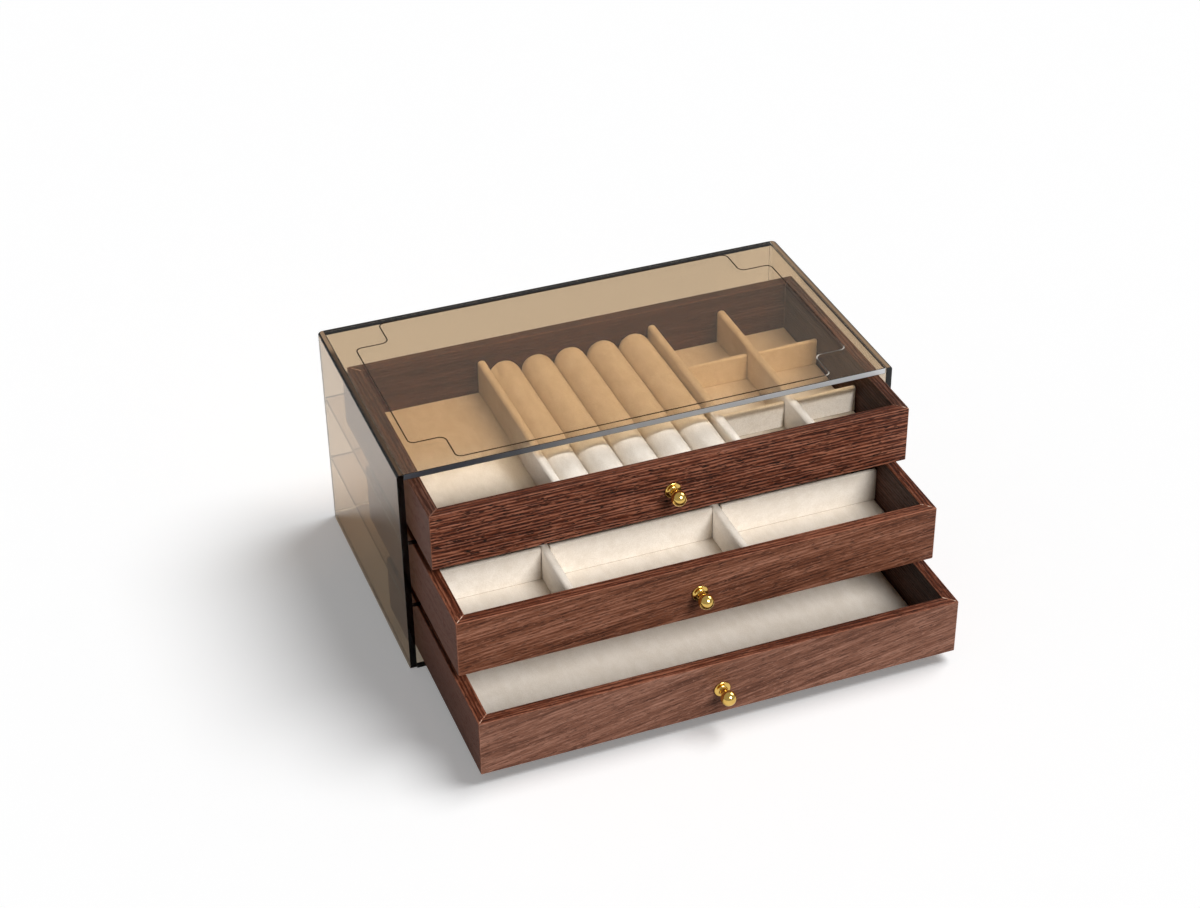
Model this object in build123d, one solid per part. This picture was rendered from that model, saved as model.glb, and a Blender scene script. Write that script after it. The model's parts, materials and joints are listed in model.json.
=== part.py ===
from build123d import *
import os

# Jewelry box: a smoked acrylic case with three wooden drawers that are lined in suede.
# Millimetres. The origin is the centre of the case's underside, +Z is up, and the drawers pull out along -Y.

# Acrylic case
case_width = 300
case_depth = 165
case_height = 135
sheet = 4
shelf_sheet = 3
case_round = 3.4
foot_round = 2
top_setback = 0.6
round_limit_share = 0.9

# Stacking outline engraved in the top panel
outline_side_margin = 16
outline_end_margin = 6.2
outline_notch_width = 20.5
outline_notch_depth = 22.3
outline_round = 4
groove_width = 0.8
groove_depth = 0.4

# Drawer frames, and how far each drawer stands open
drawer_side_gap = 3
drawer_rear_gap = 1.5
running_gap = 0.3
headroom = 1.6
wall = 7
arris = 0.4
board = 3
board_inset = 5.5
top_pull = 35.4
middle_pull = 75.2
bottom_pull = 107.8

# Suede liners and dividers
liner = 4.1
liner_round = 0.8
fit_gap = 0.3
long_divider = 5
long_divider_height = 21.5
cross_divider = 3
grid_cross_height = 17
divider_round_share = 0.42

# Top drawer: an open bay on the left, ring rolls in the middle, a grid on the right
top_left_bay = 70.5
roll_diameter = 20.5
roll_gap = 0.35
roll_count = 5
roll_end_round = 3.5
roll_seat_depth = 0.5
grid_front_row = 45
grid_middle_row = 50

# Middle drawer: three columns, with a cross divider behind the front row
middle_left_bay = 62.5
middle_centre_bay = 99.7
middle_front_row = 52.7

# Knob and its screw
knob_offset = -2.4
knob_height_share = 0.48
ball_diameter = 9
rose_diameter = 9.7
rose_thickness = 1.5
rose_edge_round = 0.5
neck_wall = 0.7
neck_length = 4.1
neck_cove = 0.9
screw_diameter = 4
screw_clearance = 0.2
thread_gap = 0.05
screw_reach = 6.5
screw_tip_gap = 0.8
screw_head_diameter = 7
screw_head_height = 2.2
screw_slot_width = 1
screw_slot_share = 0.5
head_recess = 0.4
counterbore_gap = 0.4
overrun = 1

# Sizes that follow from those above
front_y = -case_depth / 2
inner_width = case_width - 2 * sheet
inner_depth = case_depth - sheet
case_edge_radius = min(case_round, sheet * round_limit_share)
drawer_pulls = {"bottom": bottom_pull, "middle": middle_pull, "top": top_pull}
shelf_count = len(drawer_pulls) - 1
bay_height = (case_height - 2 * sheet - shelf_count * shelf_sheet) / len(drawer_pulls)
bay_pitch = bay_height + shelf_sheet
drawer_width = inner_width - 2 * drawer_side_gap
drawer_depth = inner_depth - drawer_rear_gap
frame_height = bay_height - running_gap - board - headroom
tray_width = drawer_width - 2 * wall
tray_depth = drawer_depth - 2 * wall
tray_left = -tray_width / 2
tray_right = tray_width / 2
floor_z = board + liner
insert_depth = tray_depth - 2 * fit_gap
insert_front = wall + fit_gap
knob_z = board + frame_height * knob_height_share
counterbore_depth = screw_head_height + head_recess

# Ways a block can sit on its own origin
ON_FLOOR = (Align.CENTER, Align.CENTER, Align.MIN)
FROM_FRONT = (Align.CENTER, Align.MIN, Align.MIN)


def side_panel():
    """Left wall of the case, rounded over where its outer face meets the top and the back."""
    panel = Pos((sheet - case_width) / 2, 0, 0) * Box(sheet, case_depth, case_height, align=ON_FLOOR)
    outer_edges = panel.faces().sort_by(Axis.X)[0].edges()
    rear_top = panel.edges().filter_by(Axis.X).group_by(Axis.Z)[-1].sort_by(Axis.Y)[-1]
    rounded = [outer_edges.sort_by(Axis.Z)[-1], outer_edges.sort_by(Axis.Y)[-1], rear_top]
    panel = fillet(rounded, case_edge_radius)
    front_foot = panel.edges().filter_by(Axis.X).group_by(Axis.Y)[0].sort_by(Axis.Z)[0]
    return fillet(front_foot, foot_round)


def stacking_outline():
    """Outline of the plate that a second box would stand on: a rectangle with its corners notched."""
    length = case_width - 2 * outline_side_margin
    depth = case_depth - 2 * outline_end_margin
    cross = Rectangle(length, depth - 2 * outline_notch_depth)
    cross += Rectangle(length - 2 * outline_notch_width, depth)
    return fillet(cross.vertices(), outline_round)


def top_panel():
    """Lid sheet between the side walls, a little behind their front edges, with the engraved outline."""
    panel = Pos(0, front_y + top_setback, case_height - sheet) * Box(
        inner_width, case_depth - top_setback, sheet, align=FROM_FRONT
    )
    rear_top = panel.edges().filter_by(Axis.X).group_by(Axis.Y)[-1].sort_by(Axis.Z)[-1]
    panel = fillet(rear_top, case_edge_radius)
    outline = stacking_outline()
    ring = offset(outline, groove_width / 2) - offset(outline, -groove_width / 2)
    return panel - Pos(0, 0, case_height - groove_depth) * extrude(ring, groove_depth + overrun)


def back_panel():
    """Rear wall between the side walls, from the base panel up to the top panel."""
    height = case_height - 2 * sheet
    return Pos(0, -front_y - sheet, sheet) * Box(inner_width, sheet, height, align=FROM_FRONT)


def base_panel():
    """Flat sheet that the box stands on."""
    return Pos(0, front_y, 0) * Box(inner_width, case_depth, sheet, align=FROM_FRONT)


def shelf(level):
    """Sheet that carries the drawer above; level 1 is the lower shelf."""
    z = sheet + level * bay_pitch - shelf_sheet
    return Pos(0, front_y, z) * Box(inner_width, inner_depth, shelf_sheet, align=FROM_FRONT)


def frame_wall(length):
    """Mitred wall of a drawer frame along X, with its outer face at y = 0 and its top outer edge eased."""
    half = length / 2
    plan = Polyline((-half, 0), (half, 0), (half - wall, wall), (wall - half, wall), close=True)
    solid = extrude(make_face(plan), frame_height)
    outer_top = solid.edges().filter_by(Axis.X).group_by(Axis.Z)[-1].sort_by(Axis.Y)[0]
    return Pos(0, 0, board) * chamfer(outer_top, arris)


def drawer_front():
    """Front wall, bored for the knob's screw and counterbored behind for its head."""
    hole = Cylinder(screw_diameter / 2 + screw_clearance, wall + 2 * overrun)
    recess = Cylinder(screw_head_diameter / 2 + counterbore_gap, counterbore_depth + overrun)
    along_y = Rot(90, 0, 0)
    front = frame_wall(drawer_width)
    front -= Pos(knob_offset, wall / 2, knob_z) * along_y * hole
    recess_y = wall + (overrun - counterbore_depth) / 2
    return front - Pos(knob_offset, recess_y, knob_z) * along_y * recess


def base_board():
    """Thin dark board under the frame, set in from its faces, which slides on the shelf."""
    width = drawer_width - 2 * board_inset
    depth = drawer_depth - 2 * board_inset
    return Pos(0, board_inset, 0) * Box(width, depth, board, align=FROM_FRONT)


def floor_liner():
    """Suede-covered floor inside the frame, with its upper edges turned over softly."""
    pad = Pos(0, insert_front, board) * Box(tray_width - 2 * fit_gap, insert_depth, liner, align=FROM_FRONT)
    return fillet(pad.faces().sort_by(Axis.Z)[-1].edges(), liner_round)


def knob():
    """Turned ball knob with its rose against the drawer front at y = 0 and a tapped hole behind."""
    ball = ball_diameter / 2
    rose = rose_diameter / 2
    neck = screw_diameter / 2 + neck_wall
    neck_y = -rose_thickness - neck_length
    ball_y = neck_y - (ball**2 - neck**2) ** 0.5
    rim = (rose, -rose_thickness)
    root = (neck, -rose_thickness)
    tip = (0, ball_y - ball)
    stem = Polyline((0, 0), (rose, 0), rim, root, (neck, neck_y))
    cap = ThreePointArc((neck, neck_y), (ball, ball_y), tip)
    profile = make_face([*stem.edges(), *cap.edges(), Line(tip, (0, 0))])
    profile = fillet(profile.vertices().sort_by_distance(rim)[0], rose_edge_round)
    profile = fillet(profile.vertices().sort_by_distance(root)[0], neck_cove)
    body = revolve(profile, axis=Axis.Y)
    depth = screw_reach + screw_tip_gap
    bore = Cylinder(screw_diameter / 2 + thread_gap, depth + overrun)
    return body - Pos(0, (overrun - depth) / 2, 0) * Rot(90, 0, 0) * bore


def knob_screw():
    """Pan-head screw from inside the drawer: its head seats in the counterbore at the back of the front."""
    shank_length = wall - counterbore_depth + screw_reach
    seat_y = wall - counterbore_depth
    shank = Pos(0, seat_y - shank_length / 2, 0) * Rot(90, 0, 0) * Cylinder(screw_diameter / 2, shank_length)
    head = Pos(0, seat_y + screw_head_height / 2, 0) * Rot(90, 0, 0)
    head *= Cylinder(screw_head_diameter / 2, screw_head_height)
    slot_depth = screw_head_height * screw_slot_share
    slot = Box(screw_head_diameter + overrun, slot_depth + overrun, screw_slot_width)
    slot_y = seat_y + screw_head_height + (overrun - slot_depth) / 2
    return shank + head - Pos(0, slot_y, 0) * slot


def divider(length, thickness, height):
    """Suede-covered board standing on the liner along Y from y = 0, with a rounded top."""
    solid = Box(thickness, length, height, align=FROM_FRONT)
    top_edges = solid.edges().filter_by(Axis.Y).group_by(Axis.Z)[-1]
    return fillet(top_edges, thickness * divider_round_share)


def long_divider_at(left):
    """Divider from the front wall to the back wall, with its left face at the given x."""
    place = Pos(left + long_divider / 2, insert_front, floor_z)
    return place * divider(insert_depth, long_divider, long_divider_height)


def cross_divider_at(left, right, front, height):
    """Divider across a column between two faces, with its own front face at the given y."""
    length = right - left - 2 * fit_gap
    place = Pos(left + fit_gap, front + cross_divider / 2, floor_z)
    return place * Rot(0, 0, -90) * divider(length, cross_divider, height)


def ring_roll():
    """Soft roll along Y from y = 0, with rounded ends and a flat underneath where it sits on the liner."""
    radius = roll_diameter / 2
    length = insert_depth
    profile = Pos(radius / 2, length / 2) * Rectangle(radius, length)
    profile = fillet(profile.vertices().group_by(Axis.X)[-1], roll_end_round)
    roll = Pos(0, 0, radius - roll_seat_depth) * revolve(profile, axis=Axis.Y)
    below = Box(roll_diameter, length + 2 * overrun, roll_seat_depth + overrun, align=FROM_FRONT)
    return roll - Pos(0, -overrun, -roll_seat_depth - overrun) * below


def frame_pieces():
    """Pieces that all three drawers share, in the drawer's own place: front at y = 0, board at z = 0."""
    middle_y = drawer_depth / 2
    left_side = Pos(-drawer_width / 2, middle_y, 0) * Rot(0, 0, -90) * frame_wall(drawer_depth)
    right_side = Pos(drawer_width / 2, middle_y, 0) * Rot(0, 0, 90) * frame_wall(drawer_depth)
    return {
        "front": drawer_front(),
        "left_side": left_side,
        "right_side": right_side,
        "back": Pos(0, drawer_depth, 0) * Rot(0, 0, 180) * frame_wall(drawer_width),
        "base_board": base_board(),
        "floor_liner": floor_liner(),
        "knob": Pos(knob_offset, 0, knob_z) * knob(),
        "knob_screw": Pos(knob_offset, 0, knob_z) * knob_screw(),
    }


def top_insert():
    """Open bay, ring rolls and a grid of small compartments."""
    roll_pitch = roll_diameter + roll_gap
    left_face = tray_left + top_left_bay
    rolls_left = left_face + long_divider
    right_face = rolls_left + roll_count * roll_pitch
    grid_left = right_face + long_divider
    column = (tray_right - grid_left - long_divider) / 2
    grid_face = grid_left + column
    pieces = {
        "left_divider": long_divider_at(left_face),
        "right_divider": long_divider_at(right_face),
        "grid_divider": long_divider_at(grid_face),
    }
    columns = {
        "left": (grid_left, grid_face),
        "right": (grid_face + long_divider, tray_right),
    }
    front_cross = wall + grid_front_row
    rows = {
        "front": front_cross,
        "rear": front_cross + cross_divider + grid_middle_row,
    }
    for row, y in rows.items():
        for column_name, (left, right) in columns.items():
            cross = cross_divider_at(left, right, y, grid_cross_height)
            pieces[f"{row}_{column_name}_cross_divider"] = cross
    for index in range(roll_count):
        x = rolls_left + (index + 1 / 2) * roll_pitch
        pieces[f"ring_roll_{index + 1}"] = Pos(x, insert_front, floor_z) * ring_roll()
    return pieces


def middle_insert():
    """Three columns, each closed behind its front row by a cross divider."""
    left_face = tray_left + middle_left_bay
    centre_left = left_face + long_divider
    right_face = centre_left + middle_centre_bay
    columns = {
        "left": (tray_left, left_face),
        "centre": (centre_left, right_face),
        "right": (right_face + long_divider, tray_right),
    }
    pieces = {
        "left_divider": long_divider_at(left_face),
        "right_divider": long_divider_at(right_face),
    }
    for column_name, (left, right) in columns.items():
        cross = cross_divider_at(left, right, wall + middle_front_row, long_divider_height)
        pieces[f"{column_name}_cross_divider"] = cross
    return pieces


def case_pieces():
    """The glued acrylic case."""
    left_side = side_panel()
    return {
        "top_panel": top_panel(),
        "left_side_panel": left_side,
        "right_side_panel": mirror(left_side, about=Plane.YZ),
        "back_panel": back_panel(),
        "base_panel": base_panel(),
        "lower_shelf": shelf(1),
        "upper_shelf": shelf(2),
    }


inserts = {"top": top_insert(), "middle": middle_insert(), "bottom": {}}
pieces = case_pieces()
for level, (drawer, pull) in enumerate(drawer_pulls.items()):
    place = Pos(0, front_y - pull, sheet + level * bay_pitch + running_gap)
    for name, solid in {**frame_pieces(), **inserts[drawer]}.items():
        pieces[f"{drawer}_drawer_{name}"] = place * solid

os.makedirs("parts", exist_ok=True)
for name, solid in pieces.items():
    export_step(solid, f"parts/{name}.step")
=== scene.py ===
import json
import math

import bmesh
import bpy
from mathutils import Matrix, Vector, noise

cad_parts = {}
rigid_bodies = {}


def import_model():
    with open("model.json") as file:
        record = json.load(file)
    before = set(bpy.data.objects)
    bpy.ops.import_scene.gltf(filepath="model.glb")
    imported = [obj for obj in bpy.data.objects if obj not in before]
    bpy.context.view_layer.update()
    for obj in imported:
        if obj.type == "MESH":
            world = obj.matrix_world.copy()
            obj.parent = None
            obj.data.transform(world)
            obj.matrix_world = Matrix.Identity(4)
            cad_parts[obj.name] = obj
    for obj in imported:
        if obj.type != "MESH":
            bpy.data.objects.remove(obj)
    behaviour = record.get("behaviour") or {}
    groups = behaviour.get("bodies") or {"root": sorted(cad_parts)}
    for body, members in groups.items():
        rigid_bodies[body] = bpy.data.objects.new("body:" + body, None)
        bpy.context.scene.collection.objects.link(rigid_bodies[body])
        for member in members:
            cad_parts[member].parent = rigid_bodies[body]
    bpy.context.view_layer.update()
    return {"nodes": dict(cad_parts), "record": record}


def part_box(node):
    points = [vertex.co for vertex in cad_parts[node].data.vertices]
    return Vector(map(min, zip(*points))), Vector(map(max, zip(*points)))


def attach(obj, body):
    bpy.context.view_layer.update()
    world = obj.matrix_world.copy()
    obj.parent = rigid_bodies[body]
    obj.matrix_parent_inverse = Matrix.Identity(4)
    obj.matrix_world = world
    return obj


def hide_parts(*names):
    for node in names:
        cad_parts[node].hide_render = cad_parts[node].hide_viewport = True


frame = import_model()

# Jewelry box: a smoked acrylic case, three dark wood drawers lined in cream suede, brass ball knobs.
# Metres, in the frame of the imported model: the drawers pull out along -Y.

X, Y, Z = range(3)
DRAWERS = ("top", "middle", "bottom")
TOUCH = 1e-6
FLAT = 0.99
SHARP_ANGLE = math.radians(35)

# Camera
CAMERA_PLACE = (-0.4073, -1.0893, 0.8478)
CAMERA_AZIMUTH = math.radians(-20.45)
CAMERA_ELEVATION = math.radians(34.11)
CAMERA_ROLL = math.radians(-0.85)
CAMERA_LENS = 69.43
CAMERA_SENSOR = 36.0

# Acrylic sheets
JOINT_GAP = 0.00006
SHEET_EASE = 0.0003
CASE_ROUND = 0.0034
RIM_ROUND = 0.0012
FOOT_ROUND = 0.002
OUTLINE_SIDE_MARGIN = 0.016
OUTLINE_END_MARGIN = 0.0062
OUTLINE_NOTCH_WIDTH = 0.0205
OUTLINE_NOTCH_DEPTH = 0.0223
OUTLINE_ROUND = 0.004
OUTLINE_STEPS = 6
GROOVE_WIDTH = 0.0008
GROOVE_DEPTH = 0.0004
TINT = (0.725, 0.565, 0.315)
TINT_DENSITY = 190.0

# Light of the lamps that a sheet lets through
PLAIN_SHARE = (0.95, 0.95, 0.95)
TOP_SHARE = (0.66, 0.585, 0.455)
SIDE_SHARE = (0.62, 0.66, 0.72)

# Drawer frames
WALL = 0.007
MITRE_GAP = 0.00008
WOOD_EASE = 0.00045
COUNTERBORE_RADIUS = 0.0039
COUNTERBORE_DEPTH = 0.0026
COUNTERBORE_SIDES = 40

# Woods: the tones of the pores, the dark grain, the ground and the light streaks
RIDGE_SPACING = 0.0022
CHIPPED = (0.62, 0.46, 0.36)
RED_TONES = ((0.010, 0.003, 0.0015), (0.032, 0.007, 0.003), (0.106, 0.027, 0.012), (0.290, 0.110, 0.062))
WARM_TONES = ((0.014, 0.005, 0.003), (0.052, 0.016, 0.008), (0.135, 0.047, 0.024), (0.290, 0.130, 0.082))
PALE_TONES = ((0.027, 0.010, 0.0055), (0.074, 0.027, 0.0155), (0.152, 0.063, 0.0385), (0.292, 0.146, 0.101))
# Side rims of the top drawer: tones darkened as painted shade under the lid.
UNDER_LID_SHADE_TONES = ((0.008, 0.003, 0.0015), (0.024, 0.008, 0.004), (0.062, 0.021, 0.012), (0.190, 0.085, 0.055))
INNER_TONES = ((0.010, 0.004, 0.0025), (0.025, 0.009, 0.006), (0.060, 0.022, 0.014), (0.150, 0.068, 0.047))
# Left sides of the drawers: tones lightened as painted light, making up for the shade they stand in.
PAINTED_LIGHT_SIDE_TONES = ((0.070, 0.030, 0.021), (0.135, 0.057, 0.039), (0.175, 0.076, 0.052), (0.250, 0.120, 0.088))

# Suede
LINER_ROUND = 0.0011
LINER_CROWN = 0.0002
LINER_RIPPLE = 0.00012
LINER_RIPPLE_SCALE = 45
LINER_COLUMNS = 40
LINER_ROWS = 22
DIVIDER_ROUND_SHARE = 0.42
DIVIDER_WAVE = 0.00018
DIVIDER_WAVE_SCALE = Vector((28, 90, 50))
DIVIDER_GRID = 0.006
DIVIDER_FOOT = 0.0004
ROLL_SIDES = 48
ROLL_END_ROUND = 0.0038
COVER_GROWTH = 0.03
COVER_GRID = 0.0022
COVER_DENT = 0.0002
COVER_DENT_SCALE = 90
STUFFING_PRESSURE = 4
STUFFING_FRAMES = 20

# Knobs
ROSE_RIM = 0.0006
ROSE_THICKNESS = 0.0015
BALL_RADIUS = 0.0045
NECK_RADIUS = 0.0023
NECK_ROOT_RADIUS = 0.0036
KNOB_STEPS = 56
COVE_STEPS = 8
BALL_STEPS = 28

# Studio
AMBIENT = 0.16
GLOSS = 0.36
FLOOR_GLOW = 0.22
FLOOR_HALF = 6.0

# Lamps: bearing from the front round to the right, height and spread in degrees, and light on the floor
FLOOR_LAMP = (90, 60, 38, 0.65)
KEY_LAMP = (104, 40, 30, 0.23)
FILL_LAMP = (20, 40, 27, 0.71)
SHEET_LAMP = (20, 58, 22, 0.60)
LID_LAMP = (8, 51, 5, 0.71)
GRID_LAMP = (8, 51, 5, 0.58)
TRAY_LAMP = (25, 31, 16, 0.50)
DIVIDER_LAMP = (-60, 15, 20, 0.10)


class Socket:
    """An output of a shader node. A sum on it adds a Math node."""

    def __init__(self, finish, socket):
        self.finish = finish
        self.socket = socket

    def sum(self, operation, left, right):
        return self.finish.node("Math", {"operation": operation}, {0: left, 1: right})

    def __add__(self, other):
        return self.sum("ADD", self, other)

    def __radd__(self, other):
        return self.sum("ADD", other, self)

    def __sub__(self, other):
        return self.sum("SUBTRACT", self, other)

    def __rsub__(self, other):
        return self.sum("SUBTRACT", other, self)

    def __mul__(self, other):
        return self.sum("MULTIPLY", self, other)

    def __rmul__(self, other):
        return self.sum("MULTIPLY", other, self)

    def __pow__(self, other):
        return self.sum("POWER", self, other)


class Finish:
    """The shader nodes of one material or of the world."""

    def __init__(self, owner):
        owner.use_nodes = True
        self.owner = owner
        self.tree = owner.node_tree
        self.tree.nodes.clear()

    def node(self, kind, settings=None, inputs=None, output=0):
        """Adds a node with its settings, then the values or links of its sockets, and gives an output."""
        made = self.tree.nodes.new("ShaderNode" + kind)
        for name, value in (settings or {}).items():
            if name == "stops":
                self.set_stops(made.color_ramp, value)
            else:
                setattr(made, name, value)
        for name, value in (inputs or {}).items():
            if isinstance(value, Socket):
                self.tree.links.new(value.socket, made.inputs[name])
            else:
                made.inputs[name].default_value = value
        return Socket(self, made.outputs[output])

    def set_stops(self, ramp, stops):
        while len(ramp.elements) < len(stops):
            ramp.elements.new(1.0)
        for element, (position, colour) in zip(ramp.elements, stops):
            element.position = position
            element.color = (*colour, 1.0)

    def place(self, turn=(0, 0, 0), scale=(1, 1, 1), shift=(0, 0, 0)):
        """Object coordinates in metres, turned and shifted and then stretched."""
        point = self.node("TexCoord", output="Object")
        if any(turn) or any(shift):
            point = self.node("Mapping", None, {"Vector": point, "Rotation": turn, "Location": shift})
        return self.node("Mapping", None, {"Vector": point, "Scale": scale})

    def noise(self, point, detail=2.0, roughness=0.5, distortion=0.0):
        values = {
            "Vector": point,
            "Scale": 1.0,
            "Detail": detail,
            "Roughness": roughness,
            "Distortion": distortion,
        }
        return self.node("TexNoise", None, values, "Fac")

    def step(self, value, low, high):
        """0 below low, 1 above high, and smooth between; low may be the larger one."""
        limits = {"Value": value, "From Min": low, "From Max": high}
        return self.node("MapRange", {"interpolation_type": "SMOOTHSTEP"}, limits)

    def mix(self, share, first, second):
        first, second = [(*c, 1.0) if isinstance(c, tuple) else c for c in (first, second)]
        return self.node("Mix", {"data_type": "RGBA"}, {0: share, 6: first, 7: second}, 2)

    def bump(self, height, distance, strength=1.0):
        return self.node("Bump", None, {"Height": height, "Distance": distance, "Strength": strength})

    def close(self, surface, volume=None):
        """Ends a material with its surface and volume, and gives it."""
        output = self.tree.nodes.new("ShaderNodeOutputMaterial")
        self.tree.links.new(surface.socket, output.inputs["Surface"])
        if volume:
            self.tree.links.new(volume.socket, output.inputs["Volume"])
        return self.owner


def new_finish(name):
    return Finish(bpy.data.materials.new(name))


def smoked_acrylic(name, lamp_share):
    """Bronze-tinted clear sheet: the tint is in its depth, so that its polished edges go dark."""
    f = new_finish(name)
    smudges = f.step(f.noise(f.place(scale=(26, 26, 26)), 4.0, 0.6), 0.45, 0.75)
    ripple = f.noise(f.place(scale=(14, 14, 14)), 1.0)
    sheet = f.node("BsdfPrincipled", None, {
        "Base Color": (0.97, 0.955, 0.94, 1.0),
        "Roughness": 0.004 + 0.02 * smudges,
        "IOR": 1.49,
        "Transmission Weight": 1.0,
        "Normal": f.bump(ripple, 0.0002, 0.12),
    })
    lamps = f.node("BsdfTransparent", None, {"Color": (*lamp_share, 1.0)})
    shadow = f.node("LightPath", output="Is Shadow Ray")
    surface = f.node("MixShader", None, {0: shadow, 1: sheet, 2: lamps})
    tint = f.node("VolumeAbsorption", None, {"Color": (*TINT, 1.0), "Density": TINT_DENSITY})
    return f.close(surface, tint)


def sawn_edge():
    """Front edge of the top sheet, finely milled, with a painted reflection: silvery at the right, fading to
    dark at the left.
    """
    f = new_finish("sawn_edge")
    milling = f.noise(f.place(scale=(900, 60, 120)), 3.0, 0.6)
    along = f.node("SeparateXYZ", None, {0: f.place()}, "X")
    # Painted reflection: the edge's colour brightens from dark at the left to silvery at the right.
    painted_reflection = f.step(along + 0.05 * f.noise(f.place(scale=(30, 30, 30)), 3.0, 0.5), -0.12, 0.22)
    surface = f.node("BsdfPrincipled", None, {
        "Base Color": f.mix(painted_reflection, (0.068, 0.073, 0.088), (0.93, 0.95, 0.97)),
        "Roughness": 0.30 + 0.2 * milling,
        "Normal": f.bump(milling, 0.00005, 0.4),
    })
    return f.close(surface)


def polished_edge():
    """Polished top edges of the side sheets, with painted light and shade for what shows through the deep
    tint: painted shade, dark brown, on the left sheet, and painted light, tan, on the right sheet and
    towards the rear.
    """
    f = new_finish("polished_edge")
    streaks = f.step(f.noise(f.place(scale=(1400, 9, 1400)), 3.0, 0.6), 0.35, 0.65)
    place = f.place()
    # Painted shade on the left sheet's edge; painted light on the right sheet's edge and towards the rear.
    right = f.step(f.node("SeparateXYZ", None, {0: place}, "X"), -0.1, 0.1)
    rear = f.step(f.node("SeparateXYZ", None, {0: place}, "Y"), 0.052, 0.062)
    dark = f.mix(streaks, (0.030, 0.016, 0.008), (0.130, 0.068, 0.028))
    light = f.mix(streaks, (0.230, 0.140, 0.075), (0.400, 0.260, 0.150))
    surface = f.node("BsdfPrincipled", None, {
        "Base Color": f.mix(f.node("Math", {"operation": "MAXIMUM"}, {0: right, 1: rear}), dark, light),
        "Roughness": 0.08 + 0.06 * streaks,
        "Specular IOR Level": 0.5,
    })
    return f.close(surface)


def deep_edge():
    """Rear rim of the case and the right end of the lid, where the tint is so deep that it looks black."""
    f = new_finish("deep_edge")
    smudges = f.noise(f.place(scale=(60, 60, 60)), 4.0, 0.6)
    surface = f.node("BsdfPrincipled", None, {
        "Base Color": f.mix(smudges, (0.006, 0.004, 0.003), (0.022, 0.014, 0.009)),
        "Roughness": 0.05 + 0.1 * smudges,
    })
    return f.close(surface)


def engraved_line():
    """Walls and bottom of the engraved outline: painted dark as shade in the groove, with painted glints
    over the right front notch and at its bends.
    """
    f = new_finish("engraved_line")
    chatter = f.noise(f.place(scale=(1200, 1200, 1200)), 2.0, 0.6)
    place = f.place()
    right, front = [f.node("SeparateXYZ", None, {0: place}, axis) for axis in "XY"]
    # Painted glints: a faint band over the right front notch and bright spots at its bends.
    painted_glint = 0.3 * f.step(right, 0.085, 0.125) * f.step(front, -0.035, -0.055)
    case_low, case_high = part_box("left_side_panel")[0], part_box("right_side_panel")[1]
    for x, y in outline_corners(case_low, case_high):
        if x > 0 > y:
            bend = (x, y, case_high.z)
            gap = f.node("VectorMath", {"operation": "DISTANCE"}, {0: place, 1: bend}, "Value")
            painted_glint = painted_glint + f.step(gap, 1.3 * OUTLINE_ROUND, 0.5 * OUTLINE_ROUND)
    # Painted shade: the groove's walls and bottom are dark.
    dark = f.mix(chatter, (0.030, 0.016, 0.010), (0.070, 0.042, 0.028))
    surface = f.node("BsdfPrincipled", None, {
        "Base Color": f.mix(painted_glint * (0.4 + 0.6 * chatter), dark, (0.80, 0.76, 0.70)),
        "Roughness": 0.18 + 0.2 * chatter,
        "Normal": f.bump(chatter, 0.00005, 0.5),
    })
    return f.close(surface)


def dark_wood(name, along, tilt, ridge, contrast, tones):
    """Open-pored dark veneer with its grain along X or Y, and combed ridges as strong as ridge says."""
    f = new_finish(name)
    turn = (0, tilt, 0) if along == X else (tilt, 0, 0)

    def stretched(long, cross, shift=0.0):
        scale = [cross, cross, cross]
        scale[along] = long
        return f.place(turn, scale, (shift, shift, shift))

    figure = f.noise(stretched(7, 65), 3.0, 0.55, 0.8)
    place = f.place(turn)
    cross = sum(f.node("SeparateXYZ", None, {0: place}, axis) for axis in (X, Y, Z) if axis != along)
    wander = f.noise(stretched(26, 240, 0.3), 2.0, 0.5)
    pitch = 2 * math.pi / RIDGE_SPACING
    combed = f.node("Math", {"operation": "SINE"}, {0: cross * pitch + 10 * wander})
    ridges = f.step(combed + 4.0 * f.noise(stretched(60, 620, 0.4), 2.0, 0.6), 0.7, 3.3)
    streaks = f.noise(stretched(9, 210, 0.2), 4.0, 0.62, 0.5)
    threads = f.noise(stretched(110, 1900, 0.7), 2.0, 0.6)
    pores = f.step(f.noise(stretched(210, 1600, 0.5), 1.0, 0.5), 0.42, 0.30)
    flecks = f.step(f.noise(stretched(240, 1500, 0.9), 2.0, 0.6), 0.60, 0.70)
    drawn = 0.8 * (figure - 0.5) + (2.1 - 1.5 * ridge) * (streaks - 0.5)
    tone = 0.5 + contrast * (drawn + ridge * (0.55 * ridges - 0.27) + 0.9 * (threads - 0.5))
    pore, dark, middle, light = tones
    ramp = f.node("ValToRGB", {"stops": ((0.10, dark), (0.50, middle), (0.95, light))}, {"Fac": tone})
    worn = f.node("Attribute", {"attribute_name": "eased"}, output="Fac")
    scuffs = f.step(f.noise(f.place(scale=(260, 260, 260)), 3.0, 0.7), 0.40, 0.62)
    colour = f.mix(pores * (0.9 * contrast**2 * (0.3 + 0.7 * ridge)), ramp, pore)
    colour = f.mix(flecks * (0.6 * contrast), colour, light)
    colour = f.mix(worn * (0.35 + 0.4 * scuffs), colour, light)
    colour = f.mix(f.step(worn * scuffs, 1.2, 1.8), colour, CHIPPED)
    height = ridges * ridge + threads * 0.5 - pores * 0.5
    surface = f.node("BsdfPrincipled", None, {
        "Base Color": colour,
        "Roughness": 0.40 + 0.14 * threads + 0.2 * pores,
        "Specular IOR Level": 0.13,
        "Normal": f.bump(height, 0.0004, 0.8),
    })
    return f.close(surface)


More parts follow.
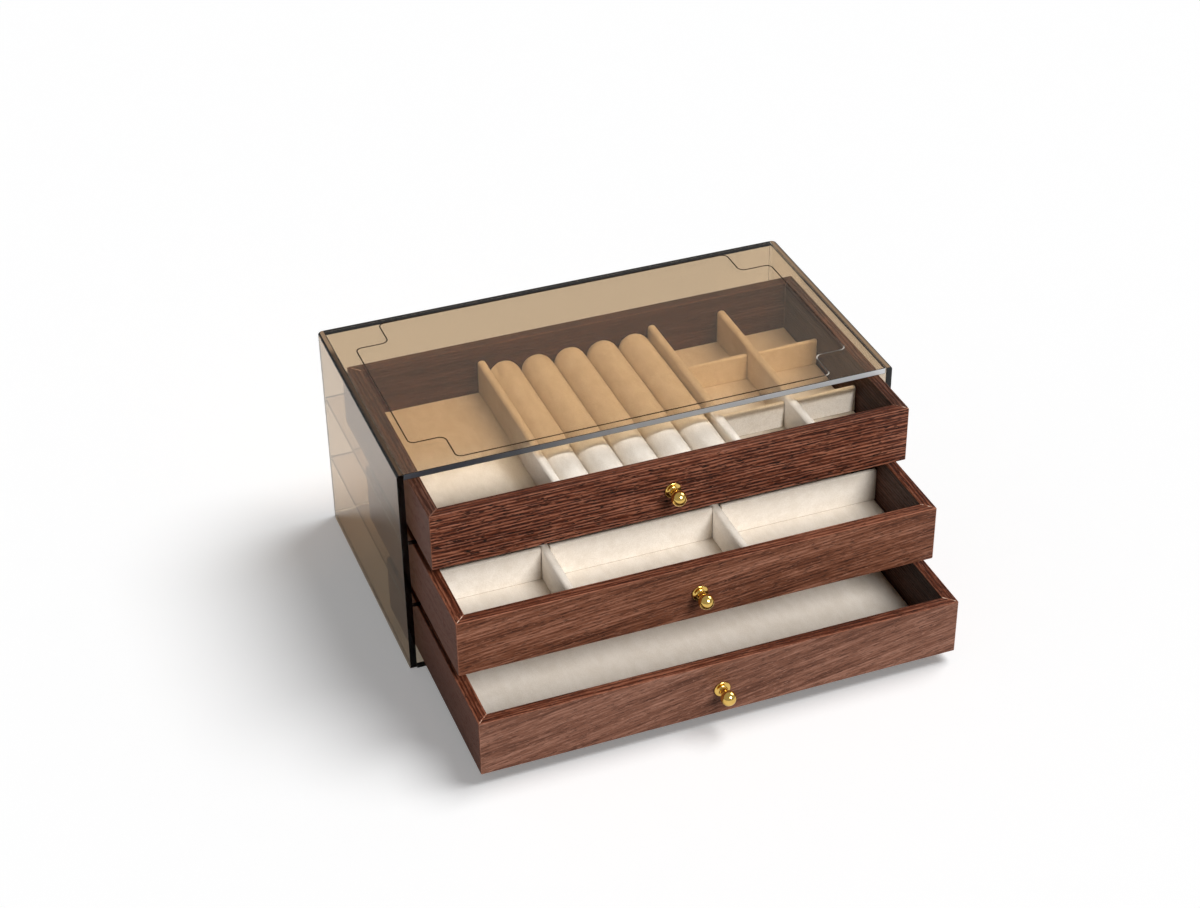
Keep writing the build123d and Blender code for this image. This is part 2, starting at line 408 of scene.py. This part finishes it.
def cream_suede():
    """Short-napped cream suede with a soft mottle, and painted shade along the feet of the dividers."""
    f = new_finish("cream_suede")
    mottle = f.noise(f.place(scale=(70, 70, 70)), 4.0, 0.6)
    brushed = f.noise(f.place(scale=(240, 90, 240)), 3.0, 0.6)
    nap = f.noise(f.place(scale=(2100, 2100, 2100)), 2.0, 0.6)
    tone = f.step(0.25 * mottle + 0.25 * brushed + 0.5 * nap, 0.37, 0.63)
    # Painted shade where the dividers meet the floor, on the faces that divider marks.
    crease = f.node("Attribute", {"attribute_name": "crease"}, output="Fac")
    colour = f.mix(tone, (0.745, 0.665, 0.565), (0.885, 0.815, 0.725))
    surface = f.node("BsdfPrincipled", None, {
        "Base Color": f.mix(crease * 0.8, colour, (0.36, 0.27, 0.19)),
        "Roughness": 0.86 + 0.12 * nap,
        "Specular IOR Level": 0.2,
        "Sheen Weight": 0.25,
        "Sheen Roughness": 0.45,
        "Sheen Tint": (0.95, 0.90, 0.82, 1.0),
        "Normal": f.bump(nap + 0.6 * brushed, 0.00025, 0.7),
    })
    return f.close(surface)


def polished_brass():
    """Turned and polished brass with faint lathe marks."""
    f = new_finish("polished_brass")
    turned = f.noise(f.place(scale=(90, 5200, 90)), 2.0, 0.6)
    tarnish = f.noise(f.place(scale=(330, 330, 330)), 3.0, 0.6)
    surface = f.node("BsdfPrincipled", None, {
        "Base Color": f.mix(tarnish, (0.80, 0.50, 0.11), (0.95, 0.67, 0.21)),
        "Metallic": 1.0,
        "Roughness": 0.04 + 0.06 * tarnish,
        "Normal": f.bump(turned, 0.00002, 0.25),
    })
    return f.close(surface)


def screw_steel():
    """Zinc-plated screw, with the marks of its forming."""
    f = new_finish("screw_steel")
    marks = f.noise(f.place(scale=(1500, 400, 1500)), 3.0, 0.6)
    surface = f.node("BsdfPrincipled", None, {
        "Base Color": f.mix(marks, (0.42, 0.42, 0.44), (0.66, 0.66, 0.67)),
        "Metallic": 1.0,
        "Roughness": 0.25 + 0.2 * marks,
        "Normal": f.bump(marks, 0.00004, 0.4),
    })
    return f.close(surface)


def brown_board():
    """Thin hardboard, with a faint fibre."""
    f = new_finish("brown_board")
    fibre = f.noise(f.place(scale=(900, 300, 900)), 4.0, 0.65)
    surface = f.node("BsdfPrincipled", None, {
        "Base Color": f.mix(fibre, (0.30, 0.190, 0.110), (0.46, 0.300, 0.180)),
        "Roughness": 0.62 + 0.2 * fibre,
        "Normal": f.bump(fibre, 0.0001, 0.5),
    })
    return f.close(surface)


def seen_clearly(f, *kinds):
    """1 for rays of the given kinds that have not been scattered, and 0 for the others."""
    rays = sum(f.node("LightPath", output=f"Is {kind} Ray") for kind in kinds)
    bounces = f.node("LightPath", output="Diffuse Depth")
    return f.node("Math", {"operation": "SUBTRACT", "use_clamp": True}, {0: rays, 1: bounces})


def pale_floor():
    """White studio floor. A glow that only the lens and the glass see makes up for its modest light."""
    f = new_finish("pale_floor")
    grain = f.noise(f.place(scale=(40, 40, 40)), 3.0, 0.5)
    seen = seen_clearly(f, "Camera", "Transmission")
    surface = f.node("BsdfPrincipled", None, {
        "Base Color": f.mix(grain, (0.955, 0.955, 0.957), (0.965, 0.965, 0.967)),
        "Roughness": 0.9,
        "Specular IOR Level": 0.05,
        "Emission Color": f.mix(seen, (0, 0, 0), (1, 1, 1)),
        "Emission Strength": FLOOR_GLOW,
    })
    return f.close(surface)


def body_of(node):
    """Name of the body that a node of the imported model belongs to."""
    bodies = frame["record"]["behaviour"]["bodies"]
    return next(body for body, members in bodies.items() if node in members)


def block(bm, low, high):
    """Adds a cuboid between two corners, and gives its vertices."""
    made = bmesh.ops.create_cube(bm, size=1)["verts"]
    bmesh.ops.scale(bm, vec=high - low, verts=made)
    bmesh.ops.translate(bm, vec=(low + high) / 2, verts=made)
    return made


def edges_on(bm, *planes):
    """Edges that lie on every one of the given (axis, place) planes."""
    return [
        edge
        for edge in bm.edges
        if all(abs(vert.co[axis] - place) < TOUCH for vert in edge.verts for axis, place in planes)
    ]


def corner_edges(bm):
    """Edges where two faces meet at a plain corner."""
    return [edge for edge in bm.edges if edge.is_manifold and edge.calc_face_angle() > SHARP_ANGLE]


def ease(bm, edges, width, segments):
    """Rounds edges over, and gives the new faces."""
    made = bmesh.ops.bevel(
        bm,
        geom=edges,
        offset=width,
        offset_type="OFFSET",
        segments=segments,
        profile=0.5,
        affect="EDGES",
        material=-1,
        clamp_overlap=True,
    )
    return made["faces"]


def cut_out(bm, face, loops):
    """Opens a flat face round closed loops of edges that lie in it, and fills what is left of it."""
    rim = list(face.edges)
    normal = face.normal.copy()
    bmesh.ops.delete(bm, geom=[face], context="FACES_ONLY")
    edges = rim + [edge for loop in loops for edge in loop]
    bmesh.ops.triangle_fill(bm, edges=edges, use_beauty=True, normal=normal)


def piece(bm, node, suffix, slot, *materials):
    """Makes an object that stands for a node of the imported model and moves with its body."""
    name = f"{node}_{suffix}"
    bmesh.ops.recalc_face_normals(bm, faces=bm.faces)
    mesh = bpy.data.meshes.new(name)
    bm.to_mesh(mesh)
    bm.free()
    mesh.set_sharp_from_angle(angle=SHARP_ANGLE)
    made = place_mesh(mesh, node, name, slot, *materials)
    made.modifiers.new("flat_faces", "WEIGHTED_NORMAL").keep_sharp = True
    return made


def place_mesh(mesh, node, name, slot, *materials):
    """Makes an object of a finished mesh, as piece does."""
    mesh.shade_smooth()
    for material in materials:
        mesh.materials.append(material)
    made = bpy.data.objects.new(name, mesh)
    bpy.context.scene.collection.objects.link(made)
    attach(made, body_of(node))
    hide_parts(node)
    return made


def sheet_box(node):
    """Corners of a sheet, drawn in a little so that glued sheets don't share a face."""
    low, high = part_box(node)
    gap = Vector((JOINT_GAP, JOINT_GAP, JOINT_GAP)) / 2
    return low + gap, high - gap


def plain_sheet(node):
    """Back, base or shelf: a sheet with eased edges."""
    bm = bmesh.new()
    block(bm, *sheet_box(node))
    ease(bm, corner_edges(bm), SHEET_EASE, 2)
    piece(bm, node, "acrylic", "smoked_acrylic", acrylic)


def side_sheet(node, outward):
    """Side wall, rounded at the rear corner and lightly along its rim, with a polished top edge."""
    low, high = sheet_box(node)
    outer, inner = (high.x, low.x) if outward > 0 else (low.x, high.x)
    bm = bmesh.new()
    block(bm, low, high)
    ease(bm, edges_on(bm, (X, outer), (Y, high.y)), CASE_ROUND, 8)
    spared = edges_on(bm, (X, inner)) + edges_on(bm, (Y, low.y))
    ease(bm, [edge for edge in edges_on(bm, (Z, high.z)) if edge not in spared], RIM_ROUND, 4)
    ease(bm, edges_on(bm, (Y, low.y), (Z, low.z)), FOOT_ROUND, 6)
    ease(bm, corner_edges(bm), SHEET_EASE, 2)
    for face in bm.faces:
        if face.normal.z > FLAT:
            face.material_index = 1
        elif face.normal.z > 0.05 and face.normal.y > 0.3:
            face.material_index = 2
    piece(bm, node, "acrylic", "smoked_acrylic", side_acrylic, edge_polish_painted_light, black_edge)


def outline_corners(low, high):
    """Corners of the stacking outline, anticlockwise: a rectangle with its corners notched."""
    x = (high.x - low.x) / 2 - OUTLINE_SIDE_MARGIN + GROOVE_WIDTH / 2
    y = (high.y - low.y) / 2 - OUTLINE_END_MARGIN + GROOVE_WIDTH / 2
    in_x = x - OUTLINE_NOTCH_WIDTH
    in_y = y - OUTLINE_NOTCH_DEPTH
    quarter = [(x, in_y), (in_x, in_y), (in_x, y)]
    corners = []
    for turn_x, turn_y in ((1, 1), (-1, 1), (-1, -1), (1, -1)):
        side = quarter if turn_x * turn_y > 0 else quarter[::-1]
        corners += [(turn_x * px, turn_y * py) for px, py in side]
    return corners


def top_sheet(node):
    """Lid sheet with the engraved outline and a milled front edge."""
    low, high = sheet_box(node)
    case_low, case_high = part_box("left_side_panel")[0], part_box("right_side_panel")[1]
    bm = bmesh.new()
    block(bm, low, high)
    ease(bm, edges_on(bm, (Y, high.y), (Z, high.z)), RIM_ROUND, 4)
    ease(bm, corner_edges(bm), SHEET_EASE, 2)
    top = max((f for f in bm.faces if f.normal.z > FLAT), key=lambda f: f.calc_area())
    front = max((f for f in bm.faces if f.normal.y < -FLAT), key=lambda f: f.calc_area())
    front.material_index = 1
    for face in bm.faces:
        if face.normal.y > 0.1 or face.normal.x > FLAT:
            face.material_index = 3
    corners = [bm.verts.new((x, y, high.z)) for x, y in outline_corners(case_low, case_high)]
    bm.faces.new(corners)
    bmesh.ops.bevel(
        bm,
        geom=corners,
        offset=OUTLINE_ROUND,
        offset_type="OFFSET",
        segments=OUTLINE_STEPS,
        profile=0.5,
        affect="VERTICES",
        material=-1,
    )
    plate = max((f for f in bm.faces if f.normal.z > FLAT and f != top), key=lambda f: len(f.verts))
    cut_out(bm, top, [list(plate.edges)])
    ring = bmesh.ops.inset_region(bm, faces=[plate], thickness=GROOVE_WIDTH, use_even_offset=True)["faces"]
    sunk = bmesh.ops.extrude_face_region(bm, geom=ring)["geom"]
    bottom = [v for v in sunk if isinstance(v, bmesh.types.BMVert)]
    bmesh.ops.translate(bm, vec=(0, 0, -GROOVE_DEPTH), verts=bottom)
    bmesh.ops.delete(bm, geom=[f for f in ring if f.is_valid], context="FACES_ONLY")
    for face in bm.faces:
        if high.z - GROOVE_DEPTH - TOUCH < face.calc_center_median().z < high.z - TOUCH:
            if any(abs(v.co.z - high.z + GROOVE_DEPTH) < TOUCH for v in face.verts):
                face.material_index = 2
    piece(bm, node, "acrylic", "smoked_acrylic", top_acrylic, milled_edge, engraving, black_edge)


def wooden_wall(node, along, outward, rim, outside, inside, knob_place=None):
    """Mitred wall of a drawer frame with eased edges; the front one is counterbored inside for its screw."""
    low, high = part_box(node)
    across = Y if along == X else X
    inner = low[across] if outward > 0 else high[across]
    middle = (low[along] + high[along]) / 2
    bm = bmesh.new()
    for vert in block(bm, low, high):
        toward = math.copysign(1, middle - vert.co[along])
        drawn_in = WALL if abs(vert.co[across] - inner) < TOUCH else 0
        vert.co[along] += toward * (drawn_in + MITRE_GAP / 2)
    eased = bm.faces.layers.float.new("eased")
    for face in ease(bm, corner_edges(bm), WOOD_EASE, 3):
        face[eased] = 2 if abs(face.normal[along]) > 0.3 and face.normal.z > 0.2 else 1
    if knob_place:
        flat = max(bm.faces, key=lambda f: f.normal[across] * -outward * f.calc_area())
        turn = Matrix.Translation((knob_place.x, inner, knob_place.z)) @ Matrix.Rotation(math.pi / 2, 4, "X")
        ring = bmesh.ops.create_circle(
            bm, segments=COUNTERBORE_SIDES, radius=COUNTERBORE_RADIUS, matrix=turn
        )
        loop = list({edge for vert in ring["verts"] for edge in vert.link_edges})
        cut_out(bm, flat, [loop])
        sunk = bmesh.ops.extrude_edge_only(bm, edges=loop)["geom"]
        bottom = [v for v in sunk if isinstance(v, bmesh.types.BMVert)]
        bmesh.ops.translate(bm, vec=(0, outward * COUNTERBORE_DEPTH, 0), verts=bottom)
        bmesh.ops.edgeloop_fill(bm, edges=[e for e in sunk if isinstance(e, bmesh.types.BMEdge)])
    bmesh.ops.recalc_face_normals(bm, faces=bm.faces)
    for face in bm.faces:
        facing = face.normal[across] * outward
        face.material_index = 1 if facing > FLAT else 2 if facing < -FLAT else 0
    piece(bm, node, "wood", "dark_walnut", rim, outside, inside)


def floor_pad(node):
    """Suede-covered floor: turned over softly at its edges, and a little crowned between them."""
    low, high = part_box(node)
    bm = bmesh.new()
    block(bm, low, high)
    rim = [e for e in bm.edges if all(abs(v.co.z - high.z) < TOUCH for v in e.verts)]
    ease(bm, rim, LINER_ROUND, 4)
    lengthwise = [e for e in bm.edges if abs(e.verts[0].co.x - e.verts[1].co.x) > 20 * LINER_ROUND]
    bmesh.ops.subdivide_edges(bm, edges=lengthwise, cuts=LINER_COLUMNS, use_grid_fill=True)
    crosswise = [e for e in bm.edges if abs(e.verts[0].co.y - e.verts[1].co.y) > 20 * LINER_ROUND]
    bmesh.ops.subdivide_edges(bm, edges=crosswise, cuts=LINER_ROWS, use_grid_fill=True)
    for vert in bm.verts:
        u = (vert.co.x - low.x) / (high.x - low.x) * 2 - 1
        v = (vert.co.y - low.y) / (high.y - low.y) * 2 - 1
        share = max(0, 1 - u**8) * max(0, 1 - v**8) * (vert.co.z - low.z) / (high.z - low.z)
        ripple = noise.noise(vert.co * LINER_RIPPLE_SCALE) * LINER_RIPPLE
        vert.co.z += share * (ripple - LINER_RIPPLE + LINER_CROWN)
    made = piece(bm, node, "suede", "cream_suede", suede)


def divider(node):
    """Board wrapped in suede, with a rounded top and a line that wanders a little."""
    low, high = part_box(node)
    size = high - low
    along, across = (X, Y) if size.x > size.y else (Y, X)
    thickness = size[across]
    bm = bmesh.new()
    block(bm, low, high)
    crest = [
        e
        for e in bm.edges
        if all(abs(v.co.z - high.z) < TOUCH for v in e.verts)
        and abs(e.verts[0].co[along] - e.verts[1].co[along]) > TOUCH
    ]
    ease(bm, crest, thickness * DIVIDER_ROUND_SHARE, 5)
    long_edges = [e for e in bm.edges if abs(e.verts[0].co[along] - e.verts[1].co[along]) > size[along] / 2]
    cuts = max(4, int(size[along] / DIVIDER_GRID))
    bmesh.ops.subdivide_edges(bm, edges=long_edges, cuts=cuts, use_grid_fill=True)
    # Faces of the foot bevel are marked for painted shade, where the divider meets the floor.
    crease = bm.faces.layers.float.new("crease")
    for face in ease(bm, corner_edges(bm), DIVIDER_FOOT, 2):
        face[crease] = face.calc_center_median().z < low.z + DIVIDER_FOOT
    for vert in bm.verts:
        lift = (vert.co.z - low.z) / size.z
        wave = noise.noise(Vector((vert.co[along], low[across], low.z)) * DIVIDER_WAVE_SCALE)
        end = min(vert.co[along] - low[along], high[along] - vert.co[along]) / size[along]
        vert.co[across] += DIVIDER_WAVE * wave * lift * min(1, 8 * end)
        vert.co.z -= DIVIDER_WAVE * abs(wave) * lift
    piece(bm, node, "suede", "cream_suede", suede)


def slack_roll(node):
    """Cover of a ring roll before it is stuffed: a little small, and uneven."""
    low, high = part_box(node)
    size = (high - low) / (1 + COVER_GROWTH)
    turn = Matrix.Translation((low + high) / 2) @ Matrix.Rotation(math.pi / 2, 4, "X")
    radius = size.x / 2
    bm = bmesh.new()
    bmesh.ops.create_cone(
        bm, cap_ends=True, segments=ROLL_SIDES, radius1=radius, radius2=radius, depth=size.y, matrix=turn
    )
    ease(bm, corner_edges(bm), ROLL_END_ROUND, 6)
    mesh = bpy.data.meshes.new("slack_roll")
    bm.to_mesh(mesh)
    bm.free()
    slack = bpy.data.objects.new("slack_roll", mesh)
    bpy.context.scene.collection.objects.link(slack)
    skin = slack.modifiers.new("skin", "REMESH")
    skin.mode = "VOXEL"
    skin.voxel_size = COVER_GRID
    slack.data = final_mesh(slack)
    slack.modifiers.clear()
    for vert in slack.data.vertices:
        vert.co += vert.normal * noise.noise(vert.co * COVER_DENT_SCALE) * COVER_DENT
    return slack


def final_mesh(made):
    """Mesh of an object with its modifiers applied."""
    graph = bpy.context.evaluated_depsgraph_get()
    return bpy.data.meshes.new_from_object(made.evaluated_get(graph))


def stuff(covers):
    """Fills slack covers from inside, so that they swell and settle into soft, uneven forms."""
    for cover in covers:
        cloth = cover.modifiers.new("cover", "CLOTH")
        cloth.settings.use_pressure = True
        cloth.settings.uniform_pressure_force = STUFFING_PRESSURE
        cloth.settings.shrink_min = -COVER_GROWTH
        cloth.settings.shrink_max = -COVER_GROWTH
        cloth.settings.effector_weights.gravity = 0
        cloth.collision_settings.use_collision = False
        cloth.point_cache.frame_end = STUFFING_FRAMES
    scene = bpy.context.scene
    for moment in range(1, STUFFING_FRAMES + 1):
        scene.frame_set(moment)
    forms = [final_mesh(cover) for cover in covers]
    scene.frame_set(1)
    for cover in covers:
        bpy.data.objects.remove(cover)
    return forms


def ring_rolls(nodes):
    """Stuffed suede rolls, each held within its own round place beside the next, that lie flat on the floor.
    """
    for node, mesh in zip(nodes, stuff([slack_roll(node) for node in nodes])):
        low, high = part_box(node)
        middle = (low + high) / 2
        radius = (high.x - low.x) / 2
        for vert in mesh.vertices:
            out = Vector((vert.co.x - middle.x, vert.co.z - middle.z))
            held = min(1, radius / max(out.length, TOUCH))
            vert.co.x = middle.x + out.x * held
            vert.co.y = min(max(vert.co.y, low.y), high.y)
            vert.co.z = max(middle.z + out.y * held, low.z)
        made = place_mesh(mesh, node, f"{node}_suede", "cream_suede", suede)
        smooth = made.modifiers.new("smooth", "SUBSURF")
        smooth.levels = smooth.render_levels = 1


def arc(centre, radius, start, stop, steps):
    """Points of an arc in a turned profile, as (radius, length) pairs; angles are from the radius axis."""
    span = [start + (stop - start) * i / steps for i in range(steps + 1)]
    return [(centre[0] + radius * math.cos(a), centre[1] + radius * math.sin(a)) for a in span]


def ball_knob(node):
    """Turned knob: a rose against the drawer front, a concave neck and a ball."""
    low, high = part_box(node)
    rose = (high.x - low.x) / 2
    centre = Vector(((low.x + high.x) / 2, high.y, (low.z + high.z) / 2))
    ball_at = high.y - low.y - BALL_RADIUS
    neck_angle = math.asin(NECK_RADIUS / BALL_RADIUS)
    profile = [(0, 0), (rose - ROSE_RIM, 0)]
    rim = arc((rose - ROSE_RIM, ROSE_THICKNESS / 2), ROSE_RIM, -math.pi / 2, math.pi / 2, COVE_STEPS)
    profile += [(r, min(max(y, 0), ROSE_THICKNESS)) for r, y in rim]
    cove = NECK_ROOT_RADIUS - NECK_RADIUS
    profile += arc((NECK_ROOT_RADIUS, ROSE_THICKNESS + cove), cove, -math.pi / 2, -math.pi, COVE_STEPS)
    profile += arc((0, ball_at), BALL_RADIUS, neck_angle - math.pi / 2, math.pi / 2, BALL_STEPS)
    bm = bmesh.new()
    chain = [bm.verts.new((centre.x + r, centre.y - y, centre.z)) for r, y in profile]
    edges = [bm.edges.new(pair) for pair in zip(chain, chain[1:])]
    bmesh.ops.spin(
        bm,
        geom=chain + edges,
        cent=centre,
        axis=(0, 1, 0),
        angle=2 * math.pi,
        steps=KNOB_STEPS,
        use_merge=True,
    )
    bmesh.ops.remove_doubles(bm, verts=bm.verts, dist=TOUCH)
    piece(bm, node, "brass", "polished_brass", brass)


def repaint(node, material):
    """Gives a node that keeps its own shape its finish."""
    mesh = frame["nodes"][node].data
    mesh.materials.clear()
    mesh.materials.append(material)


def white_studio():
    """Even light for the object; the lens, gloss and glass meet plain white."""
    world = bpy.data.worlds.new("white_studio")
    bpy.context.scene.world = world
    f = Finish(world)
    clear = seen_clearly(f, "Camera", "Transmission")
    gloss = seen_clearly(f, "Camera", "Glossy", "Transmission") - clear
    strength = AMBIENT + (1 - AMBIENT) * clear + (GLOSS - AMBIENT) * gloss
    glow = f.node("Background", None, {"Color": (1, 1, 1, 1), "Strength": strength})
    output = f.tree.nodes.new("ShaderNodeOutputWorld")
    f.tree.links.new(glow.socket, output.inputs["Surface"])


def lamp(name, bearing, height, spread, share):
    """Soft distant lamp that stands at a bearing and a height, with a share of plain light on the floor."""
    data = bpy.data.lights.new(name, "SUN")
    data.angle = math.radians(spread)
    data.energy = share * math.pi / math.sin(math.radians(height))
    made = bpy.data.objects.new(name, data)
    made.rotation_euler = (math.radians(90 - height), 0, math.radians(bearing))
    bpy.context.scene.collection.objects.link(made)
    return made


def matte(light):
    """Keeps a lamp out of gloss, so that a sheet doesn't mirror it."""
    light.visible_glossy = False
    return light


def light_only(light, things):
    """Keeps a lamp's light to some things."""
    lit = bpy.data.collections.new(light.name)
    for thing in things:
        lit.objects.link(thing)
    light.light_linking.receiver_collection = lit
    return lit


def light_all_but(light, things):
    """Keeps a lamp's light off some things."""
    for member in light_only(light, things).collection_objects:
        member.light_linking.link_state = "EXCLUDE"


def studio_floor():
    """Level floor that keeps the shadow."""
    bm = bmesh.new()
    bmesh.ops.create_grid(bm, x_segments=4, y_segments=4, size=FLOOR_HALF)
    mesh = bpy.data.meshes.new("studio_floor")
    bm.to_mesh(mesh)
    bm.free()
    mesh.materials.append(pale_floor())
    floor = bpy.data.objects.new("studio_floor", mesh)
    bpy.context.scene.collection.objects.link(floor)
    return floor


def pieces(start, end):
    """Pieces whose names start and end so."""
    return [made for made in bpy.data.objects if made.name.startswith(start) and made.name.endswith(end)]


def studio_lamps(floor):
    """Lamps for the floor, the drawers, the sheets, and the suede under the lid."""
    insert = pieces("top_", "_suede")
    tray = pieces("top_", "floor_liner_suede")
    sheets = pieces("", "_acrylic")
    grid = [made for made in insert if "cross" in made.name or "grid" in made.name]
    lengthwise = [made for made in pieces("", "divider_suede") if "cross" not in made.name]
    light_only(lamp("floor_light", *FLOOR_LAMP), [floor])
    light_only(lamp("lid_light", *LID_LAMP), [made for made in insert if made not in tray + grid])
    light_only(lamp("grid_light", *GRID_LAMP), grid)
    light_only(lamp("divider_light", *DIVIDER_LAMP), lengthwise)
    light_only(lamp("tray_light", *TRAY_LAMP), tray)
    light_all_but(lamp("key", *KEY_LAMP), [floor, *sheets])
    light_all_but(lamp("fill", *FILL_LAMP), [floor, *insert, *sheets])
    light_only(matte(lamp("sheet_light", *SHEET_LAMP)), sheets)


def photo_camera():
    """Camera at the photograph's viewing angle."""
    lens = bpy.data.cameras.new("camera")
    lens.sensor_width = CAMERA_SENSOR
    lens.lens = CAMERA_LENS
    camera = bpy.data.objects.new("camera", lens)
    camera.matrix_world = (
        Matrix.Translation(CAMERA_PLACE)
        @ Matrix.Rotation(CAMERA_AZIMUTH, 4, "Z")
        @ Matrix.Rotation(math.pi / 2 - CAMERA_ELEVATION, 4, "X")
        @ Matrix.Rotation(CAMERA_ROLL, 4, "Z")
    )
    bpy.context.scene.collection.objects.link(camera)
    bpy.context.scene.camera = camera


# Finishes
acrylic = smoked_acrylic("smoked_acrylic", PLAIN_SHARE)
top_acrylic = smoked_acrylic("smoked_acrylic_top", TOP_SHARE)
side_acrylic = smoked_acrylic("smoked_acrylic_side", SIDE_SHARE)
milled_edge = sawn_edge()
edge_polish_painted_light = polished_edge()
black_edge = deep_edge()
engraving = engraved_line()
suede = cream_suede()
brass = polished_brass()
steel = screw_steel()
board = brown_board()
front_woods = {
    "top": dark_wood("ridged_wood", X, 0.0, 1.0, 1.15, RED_TONES),
    "middle": dark_wood("streaked_wood", X, math.radians(5), 0.45, 1.0, WARM_TONES),
    "bottom": dark_wood("figured_wood", X, math.radians(9), 0.25, 1.0, PALE_TONES),
}
rim_wood = dark_wood("rim_wood", X, 0.0, 0.7, 1.0, RED_TONES)
side_rim_wood = dark_wood("side_rim_wood", Y, 0.0, 0.7, 1.0, RED_TONES)
inner_wood = dark_wood("inner_wood", X, 0.0, 0.4, 0.7, INNER_TONES)
# Side rims of the top drawer: darker tones, painted shade under the lid.
top_rim_wood = dark_wood("top_rim_wood", Y, 0.0, 0.7, 0.9, UNDER_LID_SHADE_TONES)
side_inner_wood = dark_wood("side_inner_wood", Y, 0.0, 0.4, 0.7, INNER_TONES)
# Left sides: lightened tones, painted light for the shade they stand in.
left_wood = dark_wood("left_wood", Y, 0.0, 0.25, 0.55, PAINTED_LIGHT_SIDE_TONES)
right_wood = dark_wood("right_wood", Y, math.radians(4), 0.4, 0.85, WARM_TONES)

# Case
side_sheet("left_side_panel", -1)
side_sheet("right_side_panel", 1)
top_sheet("top_panel")
for sheet in ("back_panel", "base_panel", "lower_shelf", "upper_shelf"):
    plain_sheet(sheet)

# Drawers
for drawer in DRAWERS:
    prefix = f"{drawer}_drawer_"
    knob_low, knob_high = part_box(prefix + "knob")
    knob_place = (knob_low + knob_high) / 2
    wooden_wall(prefix + "front", X, -1, rim_wood, front_woods[drawer], inner_wood, knob_place)
    # Back walls are dark inner wood throughout, rim too; on the top drawer's rear rim, seen under the lid,
    # that darkness is painted shade.
    wooden_wall(prefix + "back", X, 1, inner_wood, inner_wood, inner_wood)
    rim = top_rim_wood if drawer == "top" else side_rim_wood
    wooden_wall(prefix + "left_side", Y, -1, rim, left_wood, side_inner_wood)
    wooden_wall(prefix + "right_side", Y, 1, rim, right_wood, side_inner_wood)
    floor_pad(prefix + "floor_liner")
    ball_knob(prefix + "knob")
    repaint(prefix + "base_board", board)
    repaint(prefix + "knob_screw", steel)

# Inserts
for node in frame["nodes"]:
    if node.endswith("divider"):
        divider(node)
ring_rolls([node for node in frame["nodes"] if "ring_roll" in node])

# Studio and camera
white_studio()
studio_lamps(studio_floor())
photo_camera()
bpy.context.scene.view_settings.view_transform = "Standard"
